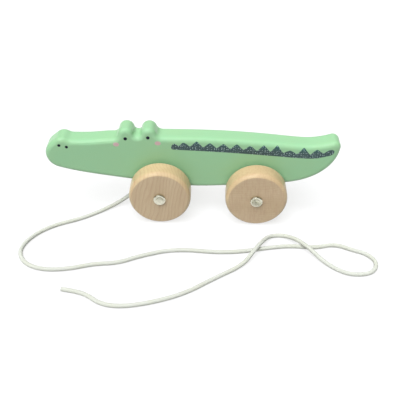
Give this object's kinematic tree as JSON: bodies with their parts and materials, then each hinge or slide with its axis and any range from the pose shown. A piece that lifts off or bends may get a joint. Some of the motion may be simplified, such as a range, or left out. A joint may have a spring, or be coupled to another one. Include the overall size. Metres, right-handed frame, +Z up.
{
  "type": "pull along toy",
  "caption": "Flat wooden crocodile on loose wooden wheels with capped steel axles and a long pull cord, for a small child to pull along.",
  "frame": {"origin": "on the floor, below the middle of the toy's bounding box without its cord", "axes": "+X from the crocodile's snout to its tail, +Y to its right-hand side, +Z up"},
  "size_m": [0.3177, 0.1755, 0.0898],
  "materials": {
    "mint_paint": "satin mint-green paint on wood, edges rounded, small printed eyes, nostrils, cheeks and spine band",
    "beech": "clear-lacquered beech with fine grain",
    "cap_steel": "bright nickel-plated pressed steel",
    "axle_steel": "plain drawn steel rod and spring steel",
    "washer_nylon": "natural nylon",
    "cord": "off-white braided cotton cord"
  },
  "bodies": {
    "root": {"body": "mint_paint", "cord": "cord", "cord_knot": "cord", "cord_plug": "beech"},
    "front_axle_set": {"front_axle": "axle_steel", "front_left_washer": "washer_nylon", "front_left_cap": "cap_steel", "front_left_grip_ring": "axle_steel", "front_right_washer": "washer_nylon", "front_right_cap": "cap_steel", "front_right_grip_ring": "axle_steel"},
    "front_left_wheel": {"front_left_wheel": "beech"},
    "front_right_wheel": {"front_right_wheel": "beech"},
    "rear_axle_set": {"rear_axle": "axle_steel", "rear_left_washer": "washer_nylon", "rear_left_cap": "cap_steel", "rear_left_grip_ring": "axle_steel", "rear_right_washer": "washer_nylon", "rear_right_cap": "cap_steel", "rear_right_grip_ring": "axle_steel"},
    "rear_left_wheel": {"rear_left_wheel": "beech"},
    "rear_right_wheel": {"rear_right_wheel": "beech"}
  },
  "joints": [
    {"name": "front_axle_spin", "type": "hinge", "parent": "root", "child": "front_axle_set", "pos_m": [-0.0288, 0, 0.0285], "axis": [0, 1, 0], "continuous": true},
    {"name": "front_left_wheel_spin", "type": "hinge", "parent": "front_axle_set", "child": "front_left_wheel", "pos_m": [-0.0288, -0.0205, 0.0285], "axis": [0, 1, 0], "continuous": true},
    {"name": "front_right_wheel_spin", "type": "hinge", "parent": "front_axle_set", "child": "front_right_wheel", "pos_m": [-0.0288, 0.0205, 0.0285], "axis": [0, 1, 0], "continuous": true},
    {"name": "rear_axle_spin", "type": "hinge", "parent": "root", "child": "rear_axle_set", "pos_m": [0.06, 0, 0.0285], "axis": [0, 1, 0], "continuous": true},
    {"name": "rear_left_wheel_spin", "type": "hinge", "parent": "rear_axle_set", "child": "rear_left_wheel", "pos_m": [0.06, -0.0205, 0.0285], "axis": [0, 1, 0], "continuous": true},
    {"name": "rear_right_wheel_spin", "type": "hinge", "parent": "rear_axle_set", "child": "rear_right_wheel", "pos_m": [0.06, 0.0205, 0.0285], "axis": [0, 1, 0], "continuous": true}
  ]
}
